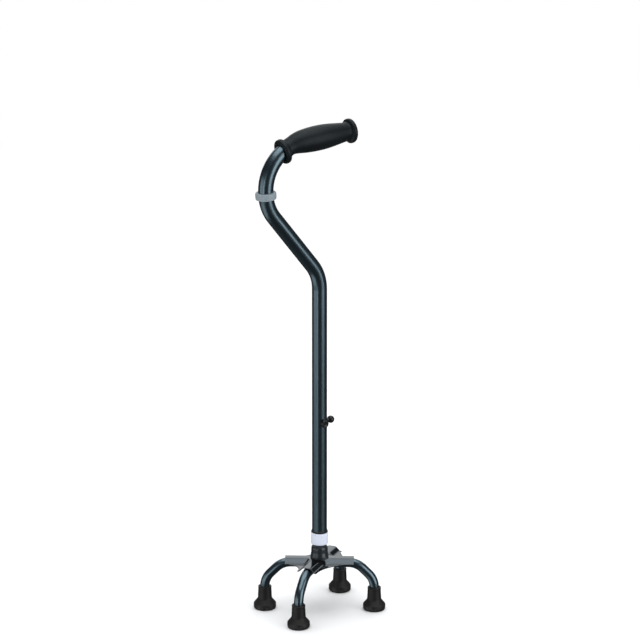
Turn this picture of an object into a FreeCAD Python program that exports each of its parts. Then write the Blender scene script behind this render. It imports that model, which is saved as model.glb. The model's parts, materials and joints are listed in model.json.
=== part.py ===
import FreeCAD, Part
import math
import os

# Quad walking cane, in millimetres.
# The origin is on the floor under the shaft, at the middle of the four feet.
# +Z is up, +X is the way the free end of the handle points, +Y is to the user's left.

# Shaft: an outer tube that carries the handle, over an inner tube that stands in the base
OUTER_R = 11.1
OUTER_WALL = 1.3
OUTER_IN_R = OUTER_R - OUTER_WALL
INNER_R = 8.6
INNER_WALL = 1.2
INNER_IN_R = INNER_R - INNER_WALL
SHAFT_BOTTOM = 123.4
INNER_TOP = 488.0

# Route of the outer tube in the XZ plane
LOWER_BEND_Z = 520.1
UPPER_BEND = (-91.8, 634.7)
HEAD_BEND_Z = 720.0
GRIP_TILT_DEG = 3.5
LOWER_BEND_R = 60.0
UPPER_BEND_R = 62.0
HEAD_BEND_R = 65.0
TUBE_END_X = 47.0

# Hand grip: places along X, the barrel on the straight of the handle, its root on the bend
GRIP_ROOT = (-62.6, 713.7)
GRIP_ROOT_TILT_DEG = 15.0
BARREL_START_X = -47.0
BELLY_X = -4.0
BARREL_END_X = 46.0
GRIP_END_X = 56.2
FLANGE_R = 18.5
END_FLANGE_R = 18.2
FLANGE_THICK = 7.6
SLEEVE_R = 13.0
GRIP_NECK_R = 13.5
GRIP_BELLY_R = 18.2
GRIP_END_NECK_R = 13.9
GRIP_EDGE = 2.6

# Soft ring on the neck
RING_R = 15.3
RING_HEIGHT = 10.8
RING_TURN_DEG = 3.9

# Height lock: a sprung pin with a ball knob, seven holes
LOCK_Z = 295.0
HOLE_PITCH = 25.0
HOLE_COUNT = 7
PIN_R = 2.5
HOLE_R = 2.8
PIN_TIP_X = 6.6
BALL_R = 5.6
BALL_X = 19.6
STEM_R = 1.95
KNOB_NECK_R = 3.4
BAND_IN_R = 11.4
BAND_OUT_R = 12.3
BAND_HEIGHT = 9.0
BAND_FROM_DEG = -118.0
BAND_TO_DEG = 24.0
CAP_R = 6.0
CAP_FACE = 16.6
STUD_R = 2.5
STUD_START = 8.0
STUD_END = 15.0

# Collar and bush at the foot of the outer tube
COLLAR_BOTTOM = 103.4
COLLAR_TOP = 122.0
COLLAR_R = 13.0
BUSH_IN_R = 8.7
BUSH_NECK_R = 10.4
BUSH_RISE = 26.0
BUSH_SLOT = 1.2
LIP_R = 12.3
LIP_HEIGHT = 3.0

# Hub
HUB_TOP = 102.6
HUB_BOTTOM = 67.2
HUB_R = 13.6
HUB_FOOT_TOP = 84.8
HUB_UPPER_R = 12.4
HUB_UPPER_LOW = 90.8
HUB_DOME_LOW = 95.8
HUB_DOME_TOP = 100.8
HUB_NECK_R = 9.8
HUB_FLOOR = 71.4
BOLT_R = 3.0
BOLT_HEAD_FLATS = 10.0
BOLT_HEAD_HEIGHT = 2.8
WASHER_R = 8.0
WASHER_THICK = 1.2

# Clearances, on the radius
PRESS_GAP = 0.02
RUN_GAP = 0.08

# Legs
FOOT_X = 67.3
FOOT_Y = 46.8
FOOT_OUT = math.hypot(FOOT_X, FOOT_Y)
LEG_R = 7.0
LEG_WALL = 1.2
LEG_Z = 73.4
LEG_DIAGONAL = 129.2
LEG_BEND_R = 30.0
LEG_BOTTOM = 7.0

# Pressed cross plate over the legs
PLATE_THICK = 1.2
PLATE_Z = 74.3
ARM_LENGTH = 51.3
ARM_HALF = 15.0
RIDGE_TOP = 81.9
RIDGE_TOP_HALF = 6.0
RIDGE_FOOT_HALF = 12.4
WEB_X = 41.0
WEB_Y = 30.0

# Rubber feet
TIP_TOP = 35.3
TIP_SLEEVE_R = 10.0
TIP_FOOT_R = 16.8
TIP_RIM_TOP = 7.0
TIP_FLARE_TOP = 17.6
TIP_FLOOR = 5.6
TIP_GROOVES = (6.0, 10.0)

CORNERS = {
    "front_left": (1, 1),
    "front_right": (1, -1),
    "rear_left": (-1, 1),
    "rear_right": (-1, -1),
}

V = FreeCAD.Vector
UP = V(0, 0, 1)


def save(name, shape):
    """Write one node to its own STEP file."""
    shape.exportStep("parts/" + name + ".step")


def cylinder(radius, low, high, centre=(0, 0)):
    """Upright cylinder between two heights."""
    return Part.makeCylinder(radius, high - low, V(centre[0], centre[1], low), UP)


def rod(radius, start, end):
    """Cylinder between two points."""
    way = end - start
    return Part.makeCylinder(radius, way.Length, start, way)


def tube(radius, bore, low, high):
    """Upright tube between two heights."""
    return cylinder(radius, low, high).cut(cylinder(bore, low - 1, high + 1))


def lathe(points, origin=V(0, 0, 0), axis=UP, across=V(1, 0, 0)):
    """Turn an outline of (radius, height) points about an axis; a 3-tuple of points is an arc."""
    def place(p):
        return origin + across * p[0] + axis * p[1]

    edges = []
    last = points[0]
    for step in points[1:]:
        if len(step) == 3:
            edges.append(Part.Arc(place(last), place(step[1]), place(step[2])).toShape())
            last = step[2]
        else:
            edges.append(Part.LineSegment(place(last), place(step)).toShape())
            last = step
    edges.append(Part.LineSegment(place(last), place(points[0])).toShape())
    face = Part.Face(Part.Wire(edges))
    return face.revolve(origin, axis, 360)


def rounded_route(corners, radii):
    """Straight runs through the corners, joined by tangent arcs."""
    edges = []
    here = corners[0]
    for before, corner, after, radius in zip(corners, corners[1:], corners[2:], radii):
        way_in = (corner - before).normalize()
        way_out = (after - corner).normalize()
        half = way_in.getAngle(way_out) / 2
        reach = radius * math.tan(half)
        start = corner - way_in * reach
        end = corner + way_out * reach
        inward = (way_out - way_in).normalize()
        middle = corner + inward * (radius / math.cos(half) - radius)
        edges.append(Part.LineSegment(here, start).toShape())
        edges.append(Part.Arc(start, middle, end).toShape())
        here = end
    edges.append(Part.LineSegment(here, corners[-1]).toShape())
    return Part.Wire(edges)


def sweep(route, radius):
    """Solid round bar along a route."""
    first = route.OrderedEdges[0]
    start = first.valueAt(first.FirstParameter)
    way = first.tangentAt(first.FirstParameter)
    ring = Part.Wire(Part.Circle(start, way, radius).toShape())
    return route.makePipeShell([ring], True, True)


def tilted(degrees):
    """Direction in the XZ plane, forwards and up by an angle."""
    tilt = math.radians(degrees)
    return V(math.cos(tilt), 0, math.sin(tilt))


def handle_point(x):
    """Point of the handle's straight axis at a place along X."""
    corner = V(UPPER_BEND[0], 0, HEAD_BEND_Z)
    way = tilted(GRIP_TILT_DEG)
    return corner + way * ((x - corner.x) / way.x)


def handle_route():
    """Centre line of the outer tube, from its foot to its free end."""
    corners = [
        V(0, 0, SHAFT_BOTTOM),
        V(0, 0, LOWER_BEND_Z),
        V(UPPER_BEND[0], 0, UPPER_BEND[1]),
        V(UPPER_BEND[0], 0, HEAD_BEND_Z),
        handle_point(TUBE_END_X),
    ]
    return rounded_route(corners, [LOWER_BEND_R, UPPER_BEND_R, HEAD_BEND_R])


def across_hole(radius, height, start, end):
    """Round hole along +X at a height."""
    return rod(radius, V(start, 0, height), V(end, 0, height))


def outer_tube():
    route = handle_route()
    bar = sweep(route, OUTER_R)
    bore = sweep(route, OUTER_IN_R)
    return bar.cut(bore).cut(across_hole(HOLE_R, LOCK_Z, 5, 15))


def inner_tube():
    shape = tube(INNER_R, INNER_IN_R, HUB_FLOOR, INNER_TOP)
    for i in range(HOLE_COUNT):
        shape = shape.cut(across_hole(HOLE_R, LOCK_Z + i * HOLE_PITCH, 4, 12))
    return shape


def inner_tube_guide():
    """Nylon cap on the inner tube: a sleeve that runs in the outer tube, with a spigot."""
    running_r = OUTER_IN_R - RUN_GAP
    sleeve_low = INNER_TOP - 24
    spigot_low = INNER_TOP - 12
    spigot_r = INNER_IN_R - PRESS_GAP
    sleeve_r = INNER_R + PRESS_GAP
    rim = INNER_TOP + PRESS_GAP
    top = INNER_TOP + 2.4
    return lathe([
        (sleeve_r, sleeve_low), (running_r - 0.5, sleeve_low), (running_r, sleeve_low + 0.8),
        (running_r, top - 1.4), (running_r - 1.2, top), (0, top),
        (0, spigot_low), (spigot_r, spigot_low), (spigot_r, rim), (sleeve_r, rim),
    ])


def inner_tube_plug():
    """Threaded plug in the foot of the inner tube, which the hub bolt draws down."""
    low = HUB_FLOOR + PRESS_GAP
    body = cylinder(INNER_IN_R - PRESS_GAP, low, low + 22)
    return body.cut(cylinder(BOLT_R + PRESS_GAP, low - 1, low + 19))


def hub_socket():
    """Socket of the base: a barrel that narrows upwards to a dome and a short neck."""
    swing = HUB_UPPER_R - HUB_NECK_R
    rise = HUB_DOME_TOP - HUB_DOME_LOW
    part_way = math.sin(math.pi / 4)
    mid = (HUB_NECK_R + swing * part_way, HUB_DOME_LOW + rise * part_way)
    bore = INNER_R + PRESS_GAP
    bolt_way = BOLT_R + 0.3
    edge = 1.2
    return lathe([
        (bolt_way, HUB_BOTTOM), (HUB_R - edge, HUB_BOTTOM), (HUB_R, HUB_BOTTOM + edge),
        (HUB_R, HUB_FOOT_TOP), (HUB_UPPER_R, HUB_UPPER_LOW), (HUB_UPPER_R, HUB_DOME_LOW),
        ((HUB_UPPER_R, HUB_DOME_LOW), mid, (HUB_NECK_R, HUB_DOME_TOP)), (HUB_NECK_R, HUB_TOP),
        (bore, HUB_TOP), (bore, HUB_FLOOR), (bolt_way, HUB_FLOOR),
    ])


def hex_prism(across_flats, low, high):
    """Hexagonal prism about the shaft's axis."""
    reach = across_flats / 2 / math.cos(math.pi / 6)
    turns = [math.pi / 3 * i for i in range(7)]
    points = [V(reach * math.cos(a), reach * math.sin(a), low) for a in turns]
    return Part.Face(Part.makePolygon(points)).extrude(UP * (high - low))


def hub_washer():
    return tube(WASHER_R, BOLT_R + 0.3, HUB_BOTTOM - WASHER_THICK, HUB_BOTTOM)


def hub_bolt():
    """Bolt up through the hub's floor into the plug of the inner tube."""
    head_top = HUB_BOTTOM - WASHER_THICK
    head = hex_prism(BOLT_HEAD_FLATS, head_top - BOLT_HEAD_HEIGHT, head_top)
    return head.fuse(cylinder(BOLT_R, head_top - 1, HUB_FLOOR + 17))


def leg_point(sign, out, height):
    """A point over the line from the shaft to a foot, at a distance out and a height."""
    return V(sign[0] * FOOT_X / FOOT_OUT * out, sign[1] * FOOT_Y / FOOT_OUT * out, height)


def leg_route(sign, start, bottom):
    """Out from the hub, down at 45 degrees, then straight down into the foot."""
    corners = [
        leg_point(sign, start, LEG_Z),
        leg_point(sign, LEG_DIAGONAL - LEG_Z, LEG_Z),
        leg_point(sign, FOOT_OUT, LEG_DIAGONAL - FOOT_OUT),
        leg_point(sign, FOOT_OUT, bottom),
    ]
    return rounded_route(corners, [LEG_BEND_R, LEG_BEND_R])


def leg_tube(sign):
    """One leg, coped to the round of the hub where it is welded."""
    bar = sweep(leg_route(sign, 9.0, LEG_BOTTOM), LEG_R)
    bore = sweep(leg_route(sign, 8.0, LEG_BOTTOM - 1), LEG_R - LEG_WALL)
    return bar.cut(bore).cut(cylinder(HUB_R + PRESS_GAP, HUB_BOTTOM - 10, HUB_TOP))


def rubber_tip(sign):
    """Ferrule: a sleeve that flares into a broad foot, with grooves under it."""
    foot = leg_point(sign, FOOT_OUT, 0)
    rim_end = (TIP_FOOT_R - 1.0, TIP_RIM_TOP + 2.6)
    flare_end = (TIP_SLEEVE_R + 1.5, TIP_FLARE_TOP - 2.9)
    outline = [
        (0, 0), (TIP_FOOT_R - 2.2, 0),
        ((TIP_FOOT_R - 2.2, 0), (TIP_FOOT_R - 0.6, 0.7), (TIP_FOOT_R, 2.4)),
        (TIP_FOOT_R, TIP_RIM_TOP),
        ((TIP_FOOT_R, TIP_RIM_TOP), (TIP_FOOT_R - 0.2, TIP_RIM_TOP + 1.4), rim_end), flare_end,
        (flare_end, (TIP_SLEEVE_R + 0.5, TIP_FLARE_TOP - 1.5), (TIP_SLEEVE_R, TIP_FLARE_TOP)),
        (TIP_SLEEVE_R, TIP_TOP - 1.0),
        ((TIP_SLEEVE_R, TIP_TOP - 1.0), (TIP_SLEEVE_R - 0.3, TIP_TOP - 0.3), (TIP_SLEEVE_R - 1.0, TIP_TOP)),
        (LEG_R + PRESS_GAP, TIP_TOP), (LEG_R + PRESS_GAP, TIP_FLOOR), (0, TIP_FLOOR),
    ]
    body = lathe(outline, origin=foot)
    for radius in TIP_GROOVES:
        ring = Part.makeCylinder(radius + 1.0, 1.6, foot - UP * 0.6)
        ring = ring.cut(Part.makeCylinder(radius - 0.5, 2.6, foot - UP * 1.1))
        body = body.cut(ring)
    return body


def tip_washer(sign):
    """Steel washer that keeps the leg from cutting through the rubber."""
    foot = leg_point(sign, FOOT_OUT, TIP_FLOOR + PRESS_GAP)
    disc = Part.makeCylinder(LEG_R - 0.1, LEG_BOTTOM - TIP_FLOOR - 2 * PRESS_GAP, foot)
    return disc.cut(Part.makeCylinder(2.2, 6, foot - UP * 2))


def plate_outline(height):
    """Outline of the plate: four square arm ends, joined by arcs that curve in between them."""
    out = leg_point((1, 1), 1, 0)
    side = V(-out.y, out.x, 0)
    outer = out * ARM_LENGTH - side * ARM_HALF
    inner = out * ARM_LENGTH + side * ARM_HALF
    corners = [
        V(outer.x, -outer.y, height), outer + UP * height, inner + UP * height, V(-inner.x, inner.y, height),
        V(-outer.x, outer.y, height), V(-outer.x, -outer.y, height),
        V(-inner.x, -inner.y, height), V(inner.x, -inner.y, height),
    ]
    middles = [V(WEB_X, 0, height), V(0, WEB_Y, height), V(-WEB_X, 0, height), V(0, -WEB_Y, height)]
    edges = []
    for i, middle in enumerate(middles):
        start = corners[2 * i]
        end = corners[2 * i + 1]
        following = corners[(2 * i + 2) % 8]
        edges.append(Part.Arc(start, middle, end).toShape())
        edges.append(Part.LineSegment(end, following).toShape())
    return Part.Face(Part.Wire(edges))


def ridge_bar(sign, top_half, foot_half, foot, top):
    """Bar of trapezoid section along one arm, from the middle out past its end."""
    out = leg_point(sign, 1, 0)
    side = V(-out.y, out.x, 0)
    points = [
        side * foot_half + UP * foot, side * top_half + UP * top,
        side * -top_half + UP * top, side * -foot_half + UP * foot,
    ]
    return Part.Face(Part.makePolygon(points + [points[0]])).extrude(out * (ARM_LENGTH + 2))


def all_ridges(top_half, foot_half, foot, top):
    """The same bar along all four arms, as one solid."""
    bars = [ridge_bar(sign, top_half, foot_half, foot, top) for sign in CORNERS.values()]
    return bars[0].multiFuse(bars[1:])


def cross_plate():
    """Pressed plate: flat webs and edges, with a raised ridge over each leg."""
    flat_top = PLATE_Z + PLATE_THICK
    slope = math.atan2(RIDGE_TOP - flat_top, RIDGE_FOOT_HALF - RIDGE_TOP_HALF)
    narrow = PLATE_THICK * math.tan(slope / 2)
    depth = RIDGE_TOP + 1 - PLATE_Z
    blank = plate_outline(PLATE_Z).extrude(UP * depth)
    sheet = plate_outline(PLATE_Z).extrude(UP * PLATE_THICK)
    raised = all_ridges(RIDGE_TOP_HALF, RIDGE_FOOT_HALF, flat_top, RIDGE_TOP)
    hollow = all_ridges(
        RIDGE_TOP_HALF - narrow, RIDGE_FOOT_HALF - narrow, PLATE_Z, RIDGE_TOP - PLATE_THICK)
    body = sheet.fuse(raised.common(blank)).cut(hollow)
    return body.cut(cylinder(HUB_R + PRESS_GAP, HUB_BOTTOM, HUB_TOP)).removeSplitter()


def lock_collar():
    """White ring that turns on the bush and squeezes it onto the inner tube."""
    bore = BUSH_NECK_R + RUN_GAP
    low = COLLAR_BOTTOM
    return lathe([
        (bore, low), (COLLAR_R - 2.6, low),
        ((COLLAR_R - 2.6, low), (COLLAR_R - 0.7, low + 0.8), (COLLAR_R, low + 2.8)),
        (COLLAR_R, COLLAR_TOP - 0.8), (COLLAR_R - 0.8, COLLAR_TOP), (bore, COLLAR_TOP),
    ])


def collet_bush():
    """Split nylon bush: pressed into the outer tube above, slotted fingers in the collar below."""
    low = COLLAR_BOTTOM + 0.6
    step = COLLAR_TOP + 0.3
    top = SHAFT_BOTTOM + BUSH_RISE
    press_r = OUTER_IN_R - PRESS_GAP
    body = lathe([
        (BUSH_IN_R, low), (BUSH_NECK_R, low), (BUSH_NECK_R, step),
        (press_r, step), (press_r, top), (BUSH_IN_R, top),
    ])
    reach = 2 * LIP_R
    slot = Part.makeBox(2 * reach, BUSH_SLOT, 15, V(-reach, -BUSH_SLOT / 2, low - 1))
    cross = slot.copy()
    cross.rotate(V(0, 0, 0), UP, 90)
    return body.cut(slot).cut(cross)


def tube_end_lip():
    """Dark trim ring over the cut end of the outer tube."""
    low = COLLAR_TOP + 0.4
    top = low + LIP_HEIGHT
    bore = OUTER_IN_R + PRESS_GAP
    fit = OUTER_R + PRESS_GAP
    seat = SHAFT_BOTTOM - PRESS_GAP
    return lathe([
        (bore, low), (LIP_R - 0.4, low), (LIP_R, low + 0.4), (LIP_R, top - 0.6),
        (LIP_R - 0.6, top), (fit, top), (fit, seat), (bore, seat),
    ])


def disc_outline(radius, thick):
    """Outline of a round-edged disc, from its axis out and back."""
    e = GRIP_EDGE
    return [
        (0, 0), (radius - e, 0), ((radius - e, 0), (radius - 0.8, 0.8), (radius, e)),
        (radius, thick - e), ((radius, thick - e), (radius - 0.8, thick - 0.8), (radius - e, thick)),
        (0, thick),
    ]


def grip_root():
    """Flange at the bend, set lower than the barrel and tilted with the tube."""
    way = tilted(GRIP_ROOT_TILT_DEG)
    start = V(GRIP_ROOT[0], 0, GRIP_ROOT[1]) - way * (FLANGE_THICK / 2)
    return lathe(disc_outline(FLANGE_R, FLANGE_THICK), start, way, V(-way.z, 0, way.x))


def grip_sleeve():
    """Thin wall of the grip that follows the bent tube from the flange into the barrel."""
    reach = BARREL_START_X - GRIP_ROOT[0] + 20
    wide = 2 * FLANGE_R
    stretch = Part.makeBox(reach, wide, 2 * wide, V(GRIP_ROOT[0], -wide / 2, GRIP_ROOT[1] - wide))
    return sweep(handle_route(), SLEEVE_R).common(stretch)


def grip_barrel():
    """Barrel and end flange, turned about the straight of the handle."""
    way = tilted(GRIP_TILT_DEG)
    start = handle_point(BARREL_START_X)
    belly = (BELLY_X - BARREL_START_X) / way.x
    neck = (BARREL_END_X - BARREL_START_X) / way.x
    length = (GRIP_END_X - BARREL_START_X) / way.x
    neck_r = GRIP_END_NECK_R
    face = neck + 2.5
    rim = END_FLANGE_R
    e = GRIP_EDGE
    outline = [
        (0, 0), (GRIP_NECK_R, 0), ((GRIP_NECK_R, 0), (GRIP_BELLY_R, belly), (neck_r, neck)),
        ((neck_r, neck), (neck_r + 0.9, neck + 1.9), (rim - e, face)),
        ((rim - e, face), (rim - 0.8, face + 0.8), (rim, face + e)), (rim, length - e),
        ((rim, length - e), (rim - 0.8, length - 0.8), (rim - e, length)), (0, length),
    ]
    return lathe(outline, start, way, V(-way.z, 0, way.x))


def hand_grip():
    """Moulded grip: a root flange on the bend, a swelling barrel and an end flange."""
    body = grip_root().fuse(grip_sleeve()).fuse(grip_barrel())
    return body.cut(sweep(handle_route(), OUTER_R + PRESS_GAP)).removeSplitter()


def handle_end_plug():
    """Plastic plug in the open end of the outer tube, under the grip."""
    end = handle_point(TUBE_END_X)
    return rod(OUTER_IN_R - PRESS_GAP, end - tilted(GRIP_TILT_DEG) * 14, end)


def strap_ring():
    """Soft ring on the neck of the shaft, square to the tube where it sits."""
    turn = math.radians(RING_TURN_DEG)
    whole_turn = math.atan2(-UPPER_BEND[0], UPPER_BEND[1] - LOWER_BEND_Z)
    bend_top = UPPER_BEND[1] + UPPER_BEND_R * math.tan(whole_turn / 2)
    x = UPPER_BEND[0] + UPPER_BEND_R * (1 - math.cos(turn))
    z = bend_top - UPPER_BEND_R * math.sin(turn)
    half = RING_HEIGHT / 2
    bore = OUTER_R / 2
    rim = RING_R - 2
    crown = RING_R - 0.6
    outline = [
        (bore, -half), (rim, -half), ((rim, -half), (crown, 0.6 - half), (RING_R, 2 - half)),
        (RING_R, half - 2), ((RING_R, half - 2), (crown, half - 0.6), (rim, half)), (bore, half),
    ]
    way = V(-math.sin(turn), 0, math.cos(turn))
    body = lathe(outline, V(x, 0, z), way, V(way.z, 0, -way.x))
    return body.cut(sweep(handle_route(), OUTER_R + PRESS_GAP))


def band_sector():
    """Upright wedge from behind the stud round to past the pin."""
    low = LOCK_Z - BAND_HEIGHT / 2
    reach = 5 * OUTER_R
    steps = 4
    points = [V(0, 0, low)]
    for i in range(steps + 1):
        turn = math.radians(BAND_FROM_DEG + (BAND_TO_DEG - BAND_FROM_DEG) * i / steps)
        points.append(V(reach * math.cos(turn), reach * math.sin(turn), low))
    points.append(points[0])
    return Part.Face(Part.makePolygon(points)).extrude(UP * BAND_HEIGHT)


def stud_rod(radius, reach):
    """Round bar from inside the outer tube out to a place on the right of the shaft."""
    return rod(radius, V(0, -STUD_START, LOCK_Z), V(0, -reach, LOCK_Z))


def spring_band():
    """Leaf spring round the tube: fixed at the stud, it carries the pin at its free end."""
    half = BAND_HEIGHT / 2
    ring = tube(BAND_OUT_R, BAND_IN_R, LOCK_Z - half, LOCK_Z + half)
    pin_hole = across_hole(STEM_R + 0.05, LOCK_Z, STUD_START, BALL_X)
    return ring.common(band_sector()).cut(pin_hole).cut(stud_rod(STUD_R + PRESS_GAP, CAP_FACE))


def lock_pin():
    """Pin through the outer tube into a hole of the inner tube, with a stem for the knob."""
    shank = math.sqrt(BAND_IN_R ** 2 - PIN_R ** 2) - 0.1 - PIN_TIP_X
    length = BALL_X - PIN_TIP_X
    outline = [
        (0, 0), (PIN_R - 0.7, 0), (PIN_R, 0.7), (PIN_R, shank),
        (STEM_R, shank), (STEM_R, length), (0, length),
    ]
    return lathe(outline, V(PIN_TIP_X, 0, LOCK_Z), V(1, 0, 0), UP)


def ball_knob():
    """Ball with a short neck that seats on the band."""
    seat = BAND_OUT_R + 0.05
    neck = across_hole(KNOB_NECK_R, LOCK_Z, seat - 1, BALL_X)
    ball = Part.makeSphere(BALL_R, V(BALL_X, 0, LOCK_Z))
    body = ball.fuse(neck).cut(cylinder(seat, LOCK_Z - 2 * BALL_R, LOCK_Z + 2 * BALL_R))
    return body.cut(across_hole(STEM_R + PRESS_GAP, LOCK_Z, 5, BALL_X + PRESS_GAP)).removeSplitter()


def band_stud():
    """Stud welded to the outer tube."""
    bar = stud_rod(STUD_R, STUD_END)
    return bar.cut(cylinder(OUTER_R + PRESS_GAP, LOCK_Z - CAP_R, LOCK_Z + CAP_R))


def stud_cap():
    """Round cap nut that holds the band, hollowed to the tube's round."""
    seat = BAND_OUT_R + 0.05
    face = CAP_FACE - STUD_START
    body = lathe([
        (0, 0), (CAP_R, 0), (CAP_R, face - 1.2),
        ((CAP_R, face - 1.2), (CAP_R - 0.35, face - 0.35), (CAP_R - 1.2, face)), (0, face),
    ], V(0, -STUD_START, LOCK_Z), V(0, -1, 0), V(1, 0, 0))
    body = body.cut(cylinder(seat, LOCK_Z - 2 * CAP_R, LOCK_Z + 2 * CAP_R))
    return body.cut(stud_rod(STUD_R + PRESS_GAP, STUD_END + PRESS_GAP))


def main():
    os.makedirs("parts", exist_ok=True)
    save("outer_tube", outer_tube())
    save("tube_end_lip", tube_end_lip())
    save("collet_bush", collet_bush())
    save("lock_collar", lock_collar())
    save("hand_grip", hand_grip())
    save("handle_end_plug", handle_end_plug())
    save("strap_ring", strap_ring())
    save("spring_band", spring_band())
    save("band_stud", band_stud())
    save("stud_cap", stud_cap())
    save("lock_pin", lock_pin())
    save("ball_knob", ball_knob())
    save("inner_tube", inner_tube())
    save("inner_tube_guide", inner_tube_guide())
    save("inner_tube_plug", inner_tube_plug())
    save("hub_socket", hub_socket())
    save("hub_washer", hub_washer())
    save("hub_bolt", hub_bolt())
    save("cross_plate", cross_plate())
    for name, sign in CORNERS.items():
        save("leg_tube_" + name, leg_tube(sign))
        save("rubber_tip_" + name, rubber_tip(sign))
        save("tip_washer_" + name, tip_washer(sign))


main()
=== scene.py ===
import json
import math

import bmesh
import bpy
from mathutils import Matrix, Vector


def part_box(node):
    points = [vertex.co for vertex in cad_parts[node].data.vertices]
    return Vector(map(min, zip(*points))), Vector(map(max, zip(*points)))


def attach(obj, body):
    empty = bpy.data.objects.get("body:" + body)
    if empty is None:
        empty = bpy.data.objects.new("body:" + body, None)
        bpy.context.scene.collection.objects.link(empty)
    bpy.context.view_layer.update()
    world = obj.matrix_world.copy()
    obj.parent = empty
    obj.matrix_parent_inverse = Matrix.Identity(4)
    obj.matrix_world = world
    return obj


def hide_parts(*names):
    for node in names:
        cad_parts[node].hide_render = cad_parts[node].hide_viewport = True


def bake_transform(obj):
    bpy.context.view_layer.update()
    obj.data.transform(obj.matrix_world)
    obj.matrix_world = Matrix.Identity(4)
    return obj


# Quad walking cane. The cane's sizes are in millimetres and are turned into metres by MM.
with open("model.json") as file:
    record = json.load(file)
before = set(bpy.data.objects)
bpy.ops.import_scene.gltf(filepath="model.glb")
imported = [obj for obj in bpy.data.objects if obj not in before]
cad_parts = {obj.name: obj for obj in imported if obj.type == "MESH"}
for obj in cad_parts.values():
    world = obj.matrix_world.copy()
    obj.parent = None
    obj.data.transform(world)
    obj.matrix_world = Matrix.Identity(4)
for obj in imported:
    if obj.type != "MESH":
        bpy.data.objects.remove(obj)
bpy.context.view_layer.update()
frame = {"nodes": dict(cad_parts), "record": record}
MM = 0.001

# View: angles in degrees, lens and sensor in millimetres, all else in metres
CAMERA_AZIMUTH = -33.05
CAMERA_ELEVATION = 16.71
CAMERA_DISTANCE = 5.0
CAMERA_LENS = 192.2
CAMERA_SENSOR = 36.0
CAMERA_CLIP = 200.0
AIM_HEIGHT = 0.4514
AIM_RIGHT = 0.00074

# Studio, in metres and degrees: each soft light is a name, azimuth from the camera's side, elevation,
# distance, size and radiance
LIGHT_AIM = Vector((0, 0, 0.4))
SOFTBOXES = [
    ("softbox_left_near", -34, -4, 6.0, (1.9, 3.2), 1.5),
    ("softbox_left_far", -72, -4, 6.2, (5.0, 3.2), 0.9),
    ("softbox_right", 57, 9, 6.0, (4.2, 5.4), 1.8),
    ("softbox_low_left", -72, -42, 6.0, (6.0, 3.2), 0.7),
    ("softbox_back", 180, 26, 6.0, (9.0, 3.6), 0.9),
    ("softbox_top", 0, 90, 6.0, (8.0, 8.0), 1.6),
]
FLOOR_HALF = 30.0
FLOOR_FADE_FROM = 1.0
FLOOR_FADE_TO = 3.0

# Outer tube: its radius, and the corner and bend of its route where it turns into the handle
OUTER_R = 11.1
HEAD_BEND_X = -91.8
HEAD_BEND_Z = 720.0
HEAD_BEND_R = 65.0
GRIP_TILT = math.radians(3.5)

# Base: a foot stands over the middle of its washer, and a corner is the sign of its X and Y
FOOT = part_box("tip_washer_front_left")
FOOT_X = (FOOT[0].x + FOOT[1].x) / 2 / MM
FOOT_Y = (FOOT[0].y + FOOT[1].y) / 2 / MM
FOOT_OUT = math.hypot(FOOT_X, FOOT_Y)
CORNERS = {
    "front_left": (1, 1),
    "front_right": (1, -1),
    "rear_left": (-1, 1),
    "rear_right": (-1, -1),
}
HUB_R = 13.6
LEG_R = 7.0
LEG_Z = 73.4

# Height lock, with the plane on which the knob's neck starts
LOCK_Z = 295.0
KNOB_SEAT_X = 12.35
BALL_X = 19.6


# ---------------------------------------------------------------- view and light

def direction(azimuth, elevation):
    """Unit vector from the middle of the scene towards an azimuth and elevation in degrees."""
    a = math.radians(azimuth)
    e = math.radians(elevation)
    return Vector((math.sin(a) * math.cos(e), -math.cos(a) * math.cos(e), math.sin(e)))


def add_camera():
    data = bpy.data.cameras.new("camera")
    data.lens = CAMERA_LENS
    data.sensor_width = CAMERA_SENSOR
    data.clip_end = CAMERA_CLIP
    camera = bpy.data.objects.new("camera", data)
    back = direction(CAMERA_AZIMUTH, CAMERA_ELEVATION)
    right = direction(CAMERA_AZIMUTH + 90, 0)
    aim = Vector((0, 0, AIM_HEIGHT)) + right * AIM_RIGHT
    camera.location = aim + back * CAMERA_DISTANCE
    camera.rotation_mode = "QUATERNION"
    camera.rotation_quaternion = (-back).to_track_quat("-Z", "Y")
    bpy.context.collection.objects.link(camera)
    bpy.context.scene.camera = camera


def add_softbox(name, azimuth, elevation, distance, size, radiance):
    """Rectangular soft light that faces the cane and isn't seen itself."""
    data = bpy.data.lights.new(name, "AREA")
    data.shape = "RECTANGLE"
    data.size, data.size_y = size
    data.energy = radiance * math.pi * size[0] * size[1]
    light = bpy.data.objects.new(name, data)
    way = direction(CAMERA_AZIMUTH + azimuth, elevation)
    light.location = LIGHT_AIM + way * distance
    light.rotation_mode = "QUATERNION"
    light.rotation_quaternion = way.to_track_quat("Z", "Y")
    light.visible_camera = False
    bpy.context.collection.objects.link(light)


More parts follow.
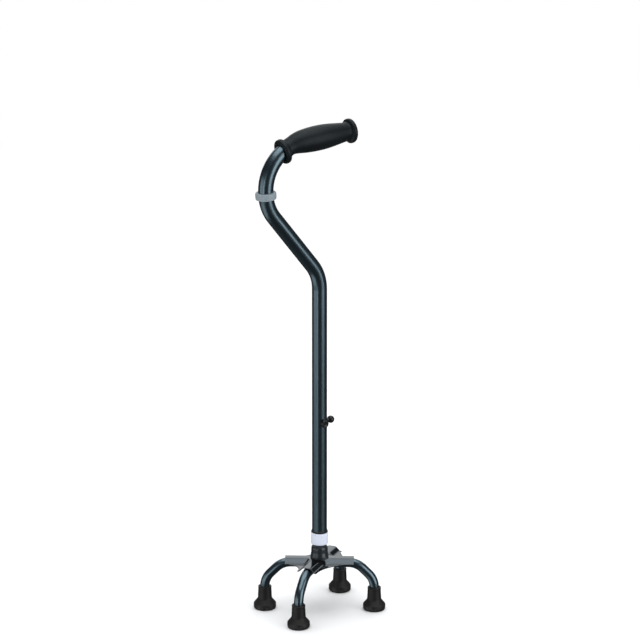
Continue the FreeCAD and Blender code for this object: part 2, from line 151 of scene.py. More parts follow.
def add_world():
    """Pale behind the object, even fill on it, and dark in its reflections except for the lights."""
    world = bpy.data.worlds.new("studio")
    world.use_nodes = True
    nodes = world.node_tree.nodes
    links = world.node_tree.links
    nodes.clear()
    out = nodes.new("ShaderNodeOutputWorld")
    path = nodes.new("ShaderNodeLightPath")

    def background(colour, strength):
        node = nodes.new("ShaderNodeBackground")
        node.inputs["Color"].default_value = (*colour, 1.0)
        node.inputs["Strength"].default_value = strength
        return node.outputs[0]

    def choose(ray, otherwise, chosen):
        node = nodes.new("ShaderNodeMixShader")
        links.new(path.outputs[ray], node.inputs["Fac"])
        links.new(otherwise, node.inputs[1])
        links.new(chosen, node.inputs[2])
        return node.outputs[0]

    seen = background((1.0, 1.0, 1.0), 1.0)
    fill = background((0.96, 0.98, 1.0), 0.6)
    dark = background((0.9, 0.95, 1.0), 0.06)
    lighting = choose("Is Glossy Ray", fill, dark)
    links.new(choose("Is Camera Ray", lighting, seen), out.inputs["Surface"])
    bpy.context.scene.world = world


def add_studio():
    bpy.context.scene.view_settings.view_transform = "Standard"
    add_camera()
    add_world()
    for softbox in SOFTBOXES:
        add_softbox(*softbox)


def add_floor():
    """Pale floor that turns as white as the background away from the cane, so that its edge doesn't show."""
    half = FLOOR_HALF
    corners = [(-half, -half, 0), (half, -half, 0), (half, half, 0), (-half, half, 0)]
    mesh = bpy.data.meshes.new("floor")
    mesh.from_pydata(corners, [], [(0, 1, 2, 3)])
    floor = bpy.data.objects.new("floor", mesh)
    bpy.context.collection.objects.link(floor)
    made = Paint("floor_white", (0.9, 0.9, 0.9), roughness=0.9)
    made.shader.inputs["Specular IOR Level"].default_value = 0.0
    away = made.nodes.new("ShaderNodeVectorMath")
    away.operation = "LENGTH"
    made.links.new(made.place, away.inputs[0])
    far = made.ramp(away.outputs["Value"], 0.0, 1.0, FLOOR_FADE_FROM, FLOOR_FADE_TO)
    path = made.nodes.new("ShaderNodeLightPath")
    white = made.nodes.new("ShaderNodeEmission")
    mix = made.nodes.new("ShaderNodeMixShader")
    made.links.new(made.product(far, path.outputs["Is Camera Ray"]), mix.inputs["Fac"])
    made.links.new(made.shader.outputs[0], mix.inputs[1])
    made.links.new(white.outputs[0], mix.inputs[2])
    made.links.new(mix.outputs[0], made.nodes["Material Output"].inputs["Surface"])
    made.material.cycles.emission_sampling = "NONE"
    floor.data.materials.append(made.material)
    floor.visible_glossy = False
    floor.visible_shadow = False


# ---------------------------------------------------------------- materials

# Light that enters a pale plastic goes equally deep in red, green and blue, so that edges don't turn pink
EVEN_SCATTER = (1.0, 1.0, 1.0)


class Paint:
    """A node material being put together: one Principled shader and the textures that feed it."""

    def __init__(self, name, colour, roughness, metallic=0.0):
        self.material = bpy.data.materials.new(name)
        self.material.use_nodes = True
        self.nodes = self.material.node_tree.nodes
        self.links = self.material.node_tree.links
        self.shader = self.nodes["Principled BSDF"]
        self.colour = (*colour, 1.0)
        self.shader.inputs["Base Color"].default_value = self.colour
        self.shader.inputs["Roughness"].default_value = roughness
        self.shader.inputs["Metallic"].default_value = metallic
        self.place = self.nodes.new("ShaderNodeTexCoord").outputs["Object"]
        self.normal = None

    def set(self, **values):
        """Set shader sockets by name, with _ for a space."""
        for name, value in values.items():
            self.shader.inputs[name.replace("_", " ")].default_value = value
        return self

    def stretched(self, scale):
        """Object coordinates scaled by a different amount along each axis."""
        mapping = self.nodes.new("ShaderNodeMapping")
        mapping.inputs["Scale"].default_value = scale
        self.links.new(self.place, mapping.inputs["Vector"])
        return mapping.outputs["Vector"]

    def noise(self, scale, detail=3.0, stretch=None):
        """Noise from 0 to 1; a scale of 1000 has detail about a millimetre across."""
        tex = self.nodes.new("ShaderNodeTexNoise")
        tex.inputs["Scale"].default_value = scale
        tex.inputs["Detail"].default_value = detail
        self.links.new(self.stretched(stretch) if stretch else self.place, tex.inputs["Vector"])
        return tex.outputs["Fac"]

    def cells(self, scale):
        """Cell pattern, with the outputs Distance and Color."""
        tex = self.nodes.new("ShaderNodeTexVoronoi")
        tex.inputs["Scale"].default_value = scale
        self.links.new(self.place, tex.inputs["Vector"])
        return tex.outputs

    def cell_values(self, scale):
        """Two random values from 0 to 1, each the same all over a cell."""
        split = self.nodes.new("ShaderNodeSeparateColor")
        self.links.new(self.cells(scale)["Color"], split.inputs[0])
        return split.outputs["Red"], split.outputs["Green"]

    def product(self, first, second):
        node = self.nodes.new("ShaderNodeMath")
        node.operation = "MULTIPLY"
        self.links.new(first, node.inputs[0])
        self.links.new(second, node.inputs[1])
        return node.outputs[0]

    def ramp(self, value, low, high, from_low=0.0, from_high=1.0):
        """A value carried from one range to another, held at the ends."""
        node = self.nodes.new("ShaderNodeMapRange")
        node.clamp = True
        node.inputs["From Min"].default_value = from_low
        node.inputs["From Max"].default_value = from_high
        node.inputs["To Min"].default_value = low
        node.inputs["To Max"].default_value = high
        self.links.new(value, node.inputs["Value"])
        return node.outputs["Result"]

    def vary_colour(self, value, other):
        """Mix the base colour towards another one by a 0..1 value."""
        mix = self.nodes.new("ShaderNodeMix")
        mix.data_type = "RGBA"
        mix.inputs["A"].default_value = self.colour
        mix.inputs["B"].default_value = (*other, 1.0)
        self.links.new(value, mix.inputs["Factor"])
        self.links.new(mix.outputs["Result"], self.shader.inputs["Base Color"])

    def vary_roughness(self, value, low, high):
        self.links.new(self.ramp(value, low, high), self.shader.inputs["Roughness"])

    def bump(self, value, height, strength):
        """Relief of a height in millimetres, added to any relief there is."""
        node = self.nodes.new("ShaderNodeBump")
        node.inputs["Strength"].default_value = strength
        node.inputs["Distance"].default_value = height * MM
        self.links.new(value, node.inputs["Height"])
        if self.normal is not None:
            self.links.new(self.normal, node.inputs["Normal"])
        self.normal = node.outputs["Normal"]
        self.links.new(self.normal, self.shader.inputs["Normal"])

    def height(self):
        """The Z coordinate, in metres."""
        node = self.nodes.new("ShaderNodeSeparateXYZ")
        self.links.new(self.place, node.inputs[0])
        return node.outputs["Z"]


def lacquer(name, colour, bright, roughness, coat, coat_roughness):
    """Metallic lacquer: fine flake under a clear coat, with a little orange peel and haze."""
    paint = Paint(name, colour, roughness, metallic=1.0)
    flake_shade, flake_tilt = paint.cell_values(3200.0)
    paint.vary_colour(paint.ramp(flake_shade, 0.0, 0.55, 0.35, 1.0), bright)
    paint.bump(flake_tilt, 0.006, 0.35)
    paint.bump(paint.noise(420.0, 2.0), 0.02, 0.3)
    paint.vary_roughness(paint.noise(38.0, 5.0), roughness - 0.05, roughness + 0.08)
    return paint.set(Coat_Weight=coat, Coat_Roughness=coat_roughness, Coat_IOR=1.6).material


def black_enamel():
    """Black enamel with a soft, faintly blue shine."""
    paint = Paint("hub_enamel", (0.013, 0.015, 0.017), 0.3)
    paint.bump(paint.noise(260.0, 2.0), 0.03, 0.35)
    paint.vary_roughness(paint.noise(70.0, 5.0), 0.24, 0.38)
    paint.vary_colour(paint.ramp(paint.noise(900.0), 0.0, 0.5), (0.022, 0.025, 0.029))
    return paint.set(Coat_Weight=0.7, Coat_Roughness=0.22, Coat_Tint=(0.75, 0.9, 1.0, 1.0)).material


def grip_rubber():
    """Matte charcoal rubber with a fine pebbled skin and a soft sheen."""
    paint = Paint("grip_rubber", (0.004, 0.005, 0.006), 0.44)
    paint.vary_colour(paint.ramp(paint.noise(55.0, 4.0), 0.0, 0.6, 0.3, 0.75), (0.007, 0.0085, 0.01))
    paint.bump(paint.cells(1100.0)["Distance"], 0.12, 0.6)
    paint.bump(paint.noise(5200.0, 2.0), 0.02, 0.5)
    paint.vary_roughness(paint.noise(120.0, 4.0), 0.36, 0.5)
    sheen = {"Sheen_Weight": 0.06, "Sheen_Roughness": 0.3, "Sheen_Tint": (0.6, 0.85, 1.0, 1.0)}
    return paint.set(Specular_IOR_Level=0.3, Specular_Tint=(0.8, 0.95, 1.0, 1.0), **sheen).material


def tip_rubber():
    """Near-black rubber, scuffed and dusty towards the floor."""
    paint = Paint("tip_rubber", (0.006, 0.006, 0.0055), 0.5)
    low_down = paint.ramp(paint.height(), 0.75, 0.0, 0.0, 0.011)
    patches = paint.ramp(paint.noise(240.0, 5.0), 0.0, 1.0, 0.42, 0.7)
    paint.vary_colour(paint.product(low_down, patches), (0.05, 0.048, 0.045))
    paint.bump(paint.noise(1900.0, 3.0), 0.03, 0.5)
    paint.vary_roughness(paint.noise(150.0, 4.0), 0.42, 0.62)
    return paint.material


def grey_elastomer():
    """Soft grey rubber that lets a little light in."""
    paint = Paint("ring_elastomer", (0.21, 0.255, 0.28), 0.42)
    paint.vary_colour(paint.ramp(paint.noise(260.0, 4.0), 0.0, 0.8, 0.35, 0.7), (0.24, 0.29, 0.315))
    paint.bump(paint.noise(900.0, 3.0), 0.03, 0.4)
    paint.vary_roughness(paint.noise(90.0), 0.36, 0.5)
    return paint.set(Subsurface_Weight=0.2, Subsurface_Scale=0.002, Subsurface_Radius=EVEN_SCATTER).material


def white_plastic():
    """Cool white moulding with a half gloss."""
    paint = Paint("collar_plastic", (0.66, 0.71, 0.82), 0.33)
    paint.vary_colour(paint.ramp(paint.noise(90.0, 5.0), 0.0, 0.5, 0.4, 0.75), (0.60, 0.64, 0.72))
    paint.bump(paint.noise(1400.0, 2.0), 0.012, 0.4)
    paint.vary_roughness(paint.noise(60.0), 0.28, 0.42)
    return paint.set(Subsurface_Weight=0.15, Subsurface_Scale=0.002, Subsurface_Radius=EVEN_SCATTER).material


def black_plastic(name, roughness):
    """Black moulding with a fine texture."""
    paint = Paint(name, (0.007, 0.007, 0.008), roughness)
    paint.vary_colour(paint.ramp(paint.noise(300.0, 4.0), 0.0, 0.6), (0.013, 0.013, 0.015))
    paint.bump(paint.noise(2600.0, 2.0), 0.02, 0.5)
    paint.vary_roughness(paint.noise(110.0, 4.0), roughness - 0.06, roughness + 0.08)
    return paint.material


def nylon():
    """Natural nylon, slightly uneven in colour."""
    paint = Paint("nylon", (0.70, 0.70, 0.65), 0.4)
    paint.vary_colour(paint.ramp(paint.noise(120.0, 5.0), 0.0, 0.7, 0.4, 0.8), (0.60, 0.59, 0.53))
    paint.bump(paint.noise(1100.0), 0.02, 0.4)
    paint.vary_roughness(paint.noise(80.0), 0.34, 0.5)
    return paint.set(Subsurface_Weight=0.2, Subsurface_Scale=0.003, Subsurface_Radius=EVEN_SCATTER).material


def spring_steel():
    """Blackened strip with fine rolling lines."""
    paint = Paint("spring_steel", (0.035, 0.036, 0.04), 0.34, metallic=0.9)
    lines = paint.noise(900.0, 3.0, stretch=(0.06, 0.06, 1.0))
    paint.bump(lines, 0.01, 0.4)
    paint.vary_colour(paint.ramp(lines, 0.0, 0.5, 0.4, 0.8), (0.06, 0.062, 0.07))
    paint.vary_roughness(paint.noise(200.0, 4.0), 0.26, 0.42)
    return paint.material


def zinc_steel():
    """Zinc plate with a dull spangle and turning lines."""
    paint = Paint("zinc_steel", (0.50, 0.51, 0.53), 0.3, metallic=1.0)
    spangle_shade, spangle_haze = paint.cell_values(700.0)
    paint.vary_colour(paint.ramp(spangle_shade, 0.0, 0.6), (0.62, 0.63, 0.64))
    paint.bump(paint.noise(1500.0, 3.0, stretch=(1.0, 1.0, 0.1)), 0.01, 0.4)
    paint.vary_roughness(spangle_haze, 0.22, 0.42)
    return paint.material


MATERIALS = {
    "tube_paint": lacquer("tube_lacquer", (0.115, 0.172, 0.205), (0.18, 0.262, 0.31), 0.28, 0.35, 0.12),
    "plate_metal": lacquer("plate_lacquer", (0.050, 0.067, 0.080), (0.078, 0.100, 0.116), 0.12, 0.8, 0.03),
    "hub_black": black_enamel(),
    "grip_rubber": grip_rubber(),
    "tip_rubber": tip_rubber(),
    "grey_rubber": grey_elastomer(),
    "white_plastic": white_plastic(),
    "black_plastic": black_plastic("black_plastic", 0.36),
    "knob_plastic": black_plastic("knob_plastic", 0.24),
    "nylon": nylon(),
    "spring_steel": spring_steel(),
    "zinc_steel": zinc_steel(),
}


def paint_cad_nodes():
    """Every CAD node takes the finish of its own slot."""
    for part in frame["record"]["subparts"]:
        for slot in frame["nodes"][part["node"]].material_slots:
            slot.material = MATERIALS[part["material_slot"]]


# ---------------------------------------------------------------- mesh tools

def add_piece(name, bm, slot, body, replaced=()):
    """Turn a bmesh in millimetres into a piece with a slot's finish; it rides a body, if one is given."""
    bmesh.ops.recalc_face_normals(bm, faces=bm.faces)
    bmesh.ops.scale(bm, vec=(MM, MM, MM), verts=bm.verts)
    mesh = bpy.data.meshes.new(name)
    bm.to_mesh(mesh)
    bm.free()
    for face in mesh.polygons:
        face.use_smooth = True
    piece = bpy.data.objects.new(name, mesh)
    bpy.context.collection.objects.link(piece)
    mesh.materials.append(MATERIALS[slot])
    if body is not None:
        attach(piece, body)
    if replaced:
        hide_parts(*replaced)
    return piece


def fillet(corners, closed=True, steps=6):
    """Polyline with each (a, b, radius) corner rounded by an arc; an open one keeps its ends."""
    count = len(corners)
    line = []
    for i, (a, b, radius) in enumerate(corners):
        here = Vector((a, b))
        at_end = not closed and i in (0, count - 1)
        if radius == 0 or at_end:
            line.append(here)
            continue
        before = (Vector(corners[i - 1][:2]) - here).normalized()
        after = (Vector(corners[(i + 1) % count][:2]) - here).normalized()
        half = before.angle(after) / 2
        reach = radius / math.tan(half)
        centre = here + (before + after).normalized() * (radius / math.sin(half))
        start = here + before * reach - centre
        turn = math.pi - 2 * half
        sign = 1 if before.cross(after) < 0 else -1
        for k in range(steps + 1):
            line.append(centre + Matrix.Rotation(sign * turn * k / steps, 2) @ start)
    return line


def bridge(bm, rings, loop=False):
    """Join successive rings of vertices with quads; a loop joins the last ring to the first."""
    pairs = list(zip(rings, rings[1:]))
    if loop:
        pairs.append((rings[-1], rings[0]))
    for lower, upper in pairs:
        count = len(lower)
        for i in range(count):
            j = (i + 1) % count
            bm.faces.new((lower[i], lower[j], upper[j], upper[i]))


def lathe(profile, segments=96, closed=True, place=Matrix.Identity(4)):
    """Turn a profile of (radius, height) about Z, then move it into place; an open one gets end faces."""
    bm = bmesh.new()
    rings = []
    for radius, height in profile:
        ring = []
        for k in range(segments):
            turn = 2 * math.pi * k / segments
            ring.append(bm.verts.new((radius * math.cos(turn), radius * math.sin(turn), height)))
        rings.append(ring)
    bridge(bm, rings, closed)
    if not closed:
        bm.faces.new(rings[0])
        bm.faces.new(rings[-1])
    bmesh.ops.transform(bm, matrix=place, verts=bm.verts)
    return bm


def axis_place(origin, axis):
    """Matrix that carries the Z axis onto another axis through a point."""
    return Matrix.Translation(origin) @ Vector(axis).to_track_quat("Z", "Y").to_matrix().to_4x4()


def ease(stations, x):
    """Smooth curve through a few (place, value) stations."""
    places = [s[0] for s in stations]
    values = [s[1] for s in stations]
    if x <= places[0]:
        return values[0]
    if x >= places[-1]:
        return values[-1]
    i = max(k for k in range(len(places) - 1) if places[k] <= x)

    def slope(k):
        a = max(k - 1, 0)
        b = min(k + 1, len(places) - 1)
        return (values[b] - values[a]) / (places[b] - places[a])

    span = places[i + 1] - places[i]
    t = (x - places[i]) / span
    return (
        (1 + 2 * t) * (1 - t) ** 2 * values[i] + t * (1 - t) ** 2 * span * slope(i)
        + t * t * (3 - 2 * t) * values[i + 1] + t * t * (t - 1) * span * slope(i + 1)
    )


# ---------------------------------------------------------------- hand grip

# Flange at the bend, called the root, and the flange at the free end
ROOT_X = -66.2
ROOT_THICK = 7.4
ROOT_R = 18.4
END_X = 56.1
END_R = 18.1

# Bore for the tube, from its mouth in the root flange
BORE_R = OUTER_R + 0.06
BORE_MOUTH_X = ROOT_X + 1.9
BORE_START_X = ROOT_X + 7.0
BORE_END_X = 47.3
BORE_STEPS = 39

# Midline's height and its tilt in degrees, and the barrel's radius, each at places along the handle
MIDLINE_Z = [
    (-66.2, 712.2), (-58.8, 714.6), (-52, 718.7), (-44, 721.9), (-30, 723.8), (47, 728.5), (56, 729.05),
]
MIDLINE_TILT = [(-66.2, 16.0), (-58.8, 15.5), (-52, 10.0), (-44, 5.5), (-25, 3.5), (56, 3.5)]
BARREL = [
    (-52, 13.2), (-49, 13.3), (-44, 14.3), (-34, 16.2), (-24, 17.4), (-13, 18.1), (-2, 18.3), (8, 18.0),
    (20, 16.9), (33, 15.2), (42, 14.0), (46, 13.6),
]
BARREL_STEPS = 48


def grip_outline():
    """Outer outline of the grip as (x along the handle, radius), from the tube's entry to the far end.

    The corners of its two ends are (x, radius, rounding).
    """
    root_neck_x, root_neck_r = BARREL[0]
    end_neck_x, end_neck_r = BARREL[-1]
    line = fillet([
        (ROOT_X + 1.5, 13.6, 0), (ROOT_X + 0.1, 14.6, 1.0), (ROOT_X, ROOT_R, 3.0),
        (ROOT_X + ROOT_THICK, ROOT_R, 3.1), (ROOT_X + ROOT_THICK + 1.2, 13.9, 2.2),
        (root_neck_x, root_neck_r, 0),
    ], closed=False)
    for k in range(1, BARREL_STEPS):
        x = root_neck_x + (end_neck_x - root_neck_x) * k / BARREL_STEPS
        line.append(Vector((x, ease(BARREL, x))))
    line += fillet([
        (end_neck_x, end_neck_r, 0), (47.6, 13.8, 2.0), (49.8, END_R, 2.2), (END_X, END_R, 3.0),
        (END_X, 9.0, 3.0), (END_X - 0.5, 6.0, 1.0), (END_X - 0.5, 2.0, 0),
    ], closed=False)
    return line


def tube_centre(x):
    """Height of the outer tube's centre line over a place along the handle, and its slope angle."""
    turn_x = HEAD_BEND_X + HEAD_BEND_R
    reach = HEAD_BEND_R * math.tan((math.pi / 2 - GRIP_TILT) / 2)
    turn_z = HEAD_BEND_Z - reach
    across = turn_x - x
    straight_from = HEAD_BEND_X + reach * math.cos(GRIP_TILT)
    if x >= straight_from:
        return HEAD_BEND_Z + (x - HEAD_BEND_X) * math.tan(GRIP_TILT), GRIP_TILT
    return turn_z + math.sqrt(HEAD_BEND_R ** 2 - across ** 2), math.asin(across / HEAD_BEND_R)


def ring_of_points(bm, x, z, tilt, radius, segments, stretch=1.0):
    """Circle about the handle, square to a tilted axis in the XZ plane; stretch makes it taller."""
    up = Vector((-math.sin(tilt), 0, math.cos(tilt)))
    ring = []
    for k in range(segments):
        turn = 2 * math.pi * k / segments
        offset = up * (radius * stretch * math.cos(turn)) + Vector((0, radius * math.sin(turn), 0))
        ring.append(bm.verts.new(Vector((x, 0, z)) + offset))
    return ring


def mouth_ring(bm, x, segments):
    """The tube's outline where it cuts the plane of the root flange at a place along the handle."""
    settling_passes = 12
    tilt = math.radians(ease(MIDLINE_TILT, x))
    height = ease(MIDLINE_Z, x)
    at = x
    for _ in range(settling_passes):
        at = x - (tube_centre(at)[0] - height) * math.tan(tilt)
    z, slope = tube_centre(at)
    return ring_of_points(bm, at, z, tilt, BORE_R, segments, 1 / math.cos(slope - tilt))


def hand_grip():
    """Moulded grip: flange at the bend, swelling barrel, end flange, and the bore for the tube."""
    segments = 96
    bm = bmesh.new()
    rings = []
    for x, radius in grip_outline():
        tilt = math.radians(ease(MIDLINE_TILT, x))
        rings.append(ring_of_points(bm, x, ease(MIDLINE_Z, x), tilt, radius, segments))
    inner = [mouth_ring(bm, BORE_MOUTH_X, segments)]
    for k in range(BORE_STEPS + 1):
        x = BORE_START_X + (BORE_END_X - BORE_START_X) * k / BORE_STEPS
        z, slope = tube_centre(x)
        inner.append(ring_of_points(bm, x, z, slope, BORE_R, segments))
    bridge(bm, rings)
    bridge(bm, [rings[0]] + inner)
    bm.faces.new(rings[-1])
    bm.faces.new(inner[-1])
    add_piece("grip_moulding", bm, "grip_rubber", "handle_shaft", ["hand_grip"])


# ---------------------------------------------------------------- rings on the shaft

# The profiles of turned pieces are corners of (radius, height, rounding)

def neck_ring():
    """Soft ring on the neck, square to the tube, which leans a little there."""
    bore = OUTER_R + 0.05
    outer = 15.25
    half = 5.3
    lean = math.radians(3.9)
    low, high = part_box("strap_ring")
    middle = (low + high) / 2 / MM
    profile = fillet([(bore, -half, 0.5), (outer, -half, 2.3), (outer, half, 2.3), (bore, half, 0.5)])
    bm = lathe(profile, place=axis_place(middle, (-math.sin(lean), 0, math.cos(lean))))
    add_piece("neck_ring", bm, "grey_rubber", "handle_shaft", ["strap_ring"])


def collar():
    """White lock collar with a soft lower edge and a fine groove under its top."""
    bore = 10.5
    outer = 12.95
    groove = 12.75
    low = 103.45
    high = 121.95
    profile = fillet([
        (bore, low, 0.3), (outer, low, 2.4), (outer, 119.2, 0.2), (groove, 119.5, 0.15),
        (outer, 119.8, 0.2), (outer, high, 0.5), (bore, high, 0.3),
    ])
    add_piece("collar_shell", lathe(profile), "white_plastic", "collar", ["lock_collar"])


def tube_lip():
    """Dark lip that caps the outer tube's lower end and reaches a little way up it."""
    bore = 9.9
    outer = 12.25
    round_tube = 11.13
    low = 122.45
    tube_end = 123.35
    high = 125.35
    profile = fillet([
        (bore, low, 0.2), (outer, low, 0.5), (outer, 124.4, 0.8), (round_tube, high, 0.2),
        (round_tube, tube_end, 0), (bore, tube_end, 0),
    ], steps=5)
    add_piece("tube_lip", lathe(profile), "black_plastic", "handle_shaft", ["tube_end_lip"])


def hub():
    """Socket of the base: a round foot, a narrower barrel, a dome and a short neck."""
    foot = HUB_R - 0.05
    barrel = 12.4
    neck = 9.82
    bore = 8.65
    bolt_hole = 3.35
    low = 67.25
    floor = 71.45
    high = 102.55
    dome_low = 95.6
    dome_rise = 5.1
    dome_steps = 14
    profile = fillet([
        (bolt_hole, low, 0.2), (foot, low, 1.4), (foot, 85.0, 9.0), (barrel, 90.6, 9.0),
        (barrel, dome_low, 0),
    ], closed=False)
    for k in range(1, dome_steps + 1):
        turn = math.pi / 2 * k / dome_steps
        radius = neck + (barrel - neck) * math.cos(turn)
        profile.append(Vector((radius, dome_low + dome_rise * math.sin(turn))))
    profile += fillet([
        (neck, 101.0, 0), (neck, high, 0.4), (bore, high, 0.3), (bore, floor, 0), (bolt_hole, floor, 0),
    ], closed=False)
    add_piece("hub_shell", lathe(profile), "hub_black", "base", ["hub_socket"])


# ---------------------------------------------------------------- height lock

def knob():
    """Ball with a short waisted neck."""
    centre = BALL_X - KNOB_SEAT_X
    radius = 5.58
    stem = 1.98
    low = 0.25
    waist = 3.2
    crown = 0.3
    crown_turn = 0.12
    steps = 28
    profile = [Vector((stem, low)), Vector((3.3, low)), Vector((3.35, 0.8)), Vector((waist, 1.6))]
    start = math.asin(waist / radius)
    for k in range(steps + 1):
        turn = start + (math.pi - start - crown_turn) * k / steps
        profile.append(Vector((radius * math.sin(turn), centre - radius * math.cos(turn))))
    profile.append(Vector((crown, centre + radius)))
    place = axis_place(Vector((KNOB_SEAT_X, 0, LOCK_Z)), (1, 0, 0))
    bm = lathe(profile, segments=64, closed=False, place=place)
    add_piece("knob_ball", bm, "knob_plastic", "pull_pin", ["ball_knob"])


def cap_nut():
    """Round cap with a raised rim and a dished face with a pit in its middle."""
    pit = 0.4
    outer = 5.95
    seat = 12.45
    dish = 15.9
    rim = 16.5
    profile = fillet([
        (pit, dish, 0), (3.4, dish, 0.6), (4.2, rim, 0.5), (5.2, rim, 0.9), (outer, 15.6, 0.6),
        (outer, 12.7, 0), (4.0, seat, 0), (pit, seat, 0),
    ], steps=5)
    bm = lathe(profile, segments=64, place=axis_place(Vector((0, 0, LOCK_Z)), (0, -1, 0)))
    add_piece("cap_nut", bm, "knob_plastic", "handle_shaft", ["stud_cap"])


def spring_band():
    """Strip that wraps the tube from behind the cap to past the pin."""
    inner = 11.42
    outer = 12.28
    half = 4.4
    from_degrees = -117
    sweep_degrees = 140
    steps = 56
    corners = [(inner, -half, 0.2), (outer, -half, 0.3), (outer, half, 0.3), (inner, half, 0.2)]
    section = fillet(corners, steps=3)
    bm = bmesh.new()
    rings = []
    for k in range(steps + 1):
        turn = math.radians(from_degrees + sweep_degrees * k / steps)
        rings.append([
            bm.verts.new((r * math.cos(turn), r * math.sin(turn), LOCK_Z + z)) for r, z in section
        ])
    bridge(bm, rings)
    bm.faces.new(rings[0])
    bm.faces.new(rings[-1])
    piece = add_piece("band_leaf", bm, "spring_steel", None, ["spring_band"])
    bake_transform(piece)


# ---------------------------------------------------------------- base

# Plate: height of the flat's upper face, sheet, gap round the hub, the pressed ridge on each arm, the arm,
# how far the web reaches from the middle towards +-X and +-Y, softness of the folds, rounding where two
# ridges meet, the mesh's lines across the arm and the web, and the steps along a line
PLATE_TOP = 75.5
PLATE_THICK = 1.2
PLATE_GAP = 0.1
RIDGE_RISE = 6.38
RIDGE_TOP_HALF = 6.0
RIDGE_FOOT_HALF = 12.4
ARM_LENGTH = 51.3
ARM_HALF = 15.0
WEB = {"x": 41.0, "y": 30.0}
CREASE = 0.8
CORNER_R = 8.0
ARM_LINES = 30
WEB_LINES = 12
LINE_STEPS = 40
TINY = 0.001


def soft_ramp(t):
    """Ramp with a rounded foot."""
    return (t + math.sqrt(t * t + CREASE * CREASE)) / 2


def ridge_depth(w, other_w):
    """How far a point lies inside the foot line of the two ridges, whose corner is rounded."""
    a = abs(w) - RIDGE_FOOT_HALF
    b = abs(other_w) - RIDGE_FOOT_HALF
    outside = max(CORNER_R, min(a, b)) - math.hypot(max(CORNER_R - a, 0), max(CORNER_R - b, 0))
    return -outside


def ridge_rise(depth):
    """Rise of the pressed ridge at a depth inside its foot line."""
    run = RIDGE_FOOT_HALF - RIDGE_TOP_HALF
    return RIDGE_RISE / run * (soft_ramp(depth) - soft_ramp(depth - run))


def half_sector(bm, sign, towards):
    """Plate from the middle of one arm to the middle of the web on one side of it."""
    out = Vector((sign[0] * FOOT_X, sign[1] * FOOT_Y, 0)) / FOOT_OUT
    axis = Vector((sign[0], 0, 0)) if towards == "x" else Vector((0, sign[1], 0))
    half = out.angle(axis)
    side = (axis - out * out.dot(axis)).normalized()
    corner = Vector((ARM_LENGTH, ARM_HALF))
    reach = WEB[towards]
    along = Vector((math.cos(half), math.sin(half)))
    chord = abs(corner.x * along.y - corner.y * along.x)
    sag = corner.dot(along) - reach
    bow = (chord * chord + sag * sag) / (2 * sag)
    centre = along * (reach + bow)
    tip_w = reach * math.sin(half)
    lines = [ARM_HALF * k / ARM_LINES for k in range(ARM_LINES)] + [ARM_HALF]
    start_turn = math.acos((centre.y - ARM_HALF) / bow) if centre.y - ARM_HALF < bow else 0.0
    end_turn = math.acos((centre.y - tip_w) / bow)
    for k in range(1, WEB_LINES + 1):
        turn = start_turn + (end_turn - start_turn) * k / WEB_LINES
        lines.append(centre.y - bow * math.cos(turn))
    grid = []
    for w in lines:
        first = w / math.tan(half)
        if w < HUB_R * math.sin(half):
            first = math.sqrt((HUB_R + PLATE_GAP) ** 2 - w * w)
        last = ARM_LENGTH
        if w > ARM_HALF + TINY:
            last = centre.x - math.sqrt(max(bow ** 2 - (centre.y - w) ** 2, 0))
        last = max(last, first)
        row = []
        for k in range(LINE_STEPS + 1):
            x = first + (last - first) * k / LINE_STEPS
            other_w = x * math.sin(2 * half) - w * math.cos(2 * half)
            other_x = x * math.cos(2 * half) + w * math.sin(2 * half)
            rise = ridge_rise(ridge_depth(w, other_w if other_x > 0 else 2 * ARM_LENGTH))
            row.append(bm.verts.new(out * x + side * w + Vector((0, 0, PLATE_TOP + rise))))
        grid.append(row)
    for lower, upper in zip(grid, grid[1:]):
        for k in range(LINE_STEPS):
            bm.faces.new((lower[k], lower[k + 1], upper[k + 1], upper[k]))


def cross_plate():
    """Pressed sheet over the legs: a rounded ridge on each arm and flat webs between them."""
    seam = 0.02
    speck = 0.01
    edge_rounding = 0.25
    sharp = math.radians(50)
    bm = bmesh.new()
    for sign in CORNERS.values():
        for towards in ("x", "y"):
            half_sector(bm, sign, towards)
    bmesh.ops.remove_doubles(bm, verts=bm.verts, dist=seam)
    bmesh.ops.dissolve_degenerate(bm, edges=bm.edges, dist=speck)
    piece = add_piece("plate_sheet", bm, "plate_metal", "base", ["cross_plate"])
    wall = piece.modifiers.new("wall", "SOLIDIFY")
    wall.thickness = PLATE_THICK * MM
    wall.offset = -1.0
    wall.use_even_offset = True
    edge = piece.modifiers.new("edge", "BEVEL")
    edge.width = edge_rounding * MM
    edge.segments = 2
    edge.limit_method = "ANGLE"
    edge.angle_limit = sharp


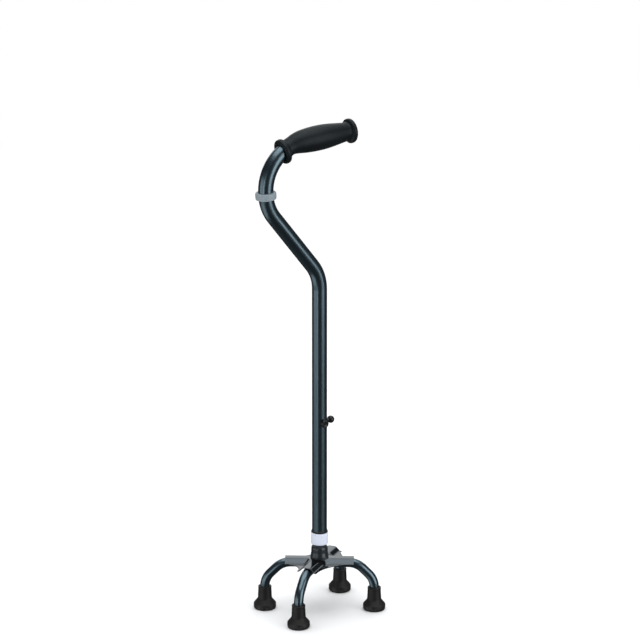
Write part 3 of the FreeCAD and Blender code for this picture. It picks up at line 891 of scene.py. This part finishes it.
def rubber_tip(name, sign):
    """Ferrule: beaded mouth, sleeve, flare, broad foot with a rounded rim and ring grooves below."""
    middle = 0.3
    sole = 0.02
    groove = 0.6
    rim = 16.75
    mouth = 35.25
    leg_end = 5.7
    profile = fillet([
        (middle, groove, 0), (5.4, groove, 0.2), (5.5, sole, 0.3), (8.5, sole, 0.3), (8.6, groove, 0.2),
        (9.9, groove, 0.2), (10.0, sole, 0.3), (15.4, sole, 1.2), (rim, 2.4, 1.8), (rim, 8.3, 2.0),
        (10.6, 15.7, 4.0), (9.8, 32.4, 0.6), (10.05, 33.2, 0.5), (10.0, mouth, 0.9), (7.1, mouth, 0.4),
        (7.03, leg_end, 0), (middle, leg_end, 0),
    ], steps=5)
    bm = lathe(profile, place=Matrix.Translation((sign[0] * FOOT_X, sign[1] * FOOT_Y, 0)))
    add_piece("ferrule_" + name, bm, "tip_rubber", "base", ["rubber_tip_" + name])


def weld_bead(name, sign):
    """Rippled weld where a leg meets the hub, round its sides and underneath."""
    from_degrees = -205
    sweep_degrees = 230
    lift = 0.15
    radius = 0.85
    ripple = 0.12
    ripple_steps = 5
    end_share = 0.35
    taper = 4.0
    steps = 120
    sides = 12
    out = Vector((sign[0] * FOOT_X, sign[1] * FOOT_Y, 0)) / FOOT_OUT
    side = Vector((-out.y, out.x, 0))
    bm = bmesh.new()
    rings = []
    for k in range(steps + 1):
        turn = math.radians(from_degrees + sweep_degrees * k / steps)
        way = side * math.cos(turn) + Vector((0, 0, math.sin(turn)))
        reach = LEG_R + lift
        w = reach * math.cos(turn)
        x = math.sqrt(HUB_R ** 2 - w * w) + lift
        centre = out * x + way * reach + Vector((0, 0, LEG_Z))
        share = min(1.0, taper * min(k, steps - k) / steps + end_share)
        thick = share * (radius + ripple * math.cos(2 * math.pi * k / ripple_steps))
        ring = []
        for j in range(sides):
            a = 2 * math.pi * j / sides
            ring.append(bm.verts.new(centre + way * (thick * math.cos(a)) + out * (thick * math.sin(a))))
        rings.append(ring)
    bridge(bm, rings)
    bm.faces.new(rings[0])
    bm.faces.new(rings[-1])
    add_piece("weld_bead_" + name, bm, "tube_paint", "base")


# ---------------------------------------------------------------- the whole

add_studio()
add_floor()
paint_cad_nodes()
hand_grip()
neck_ring()
collar()
tube_lip()
hub()
knob()
cap_nut()
spring_band()
cross_plate()
for corner, sign in CORNERS.items():
    rubber_tip(corner, sign)
    weld_bead(corner, sign)
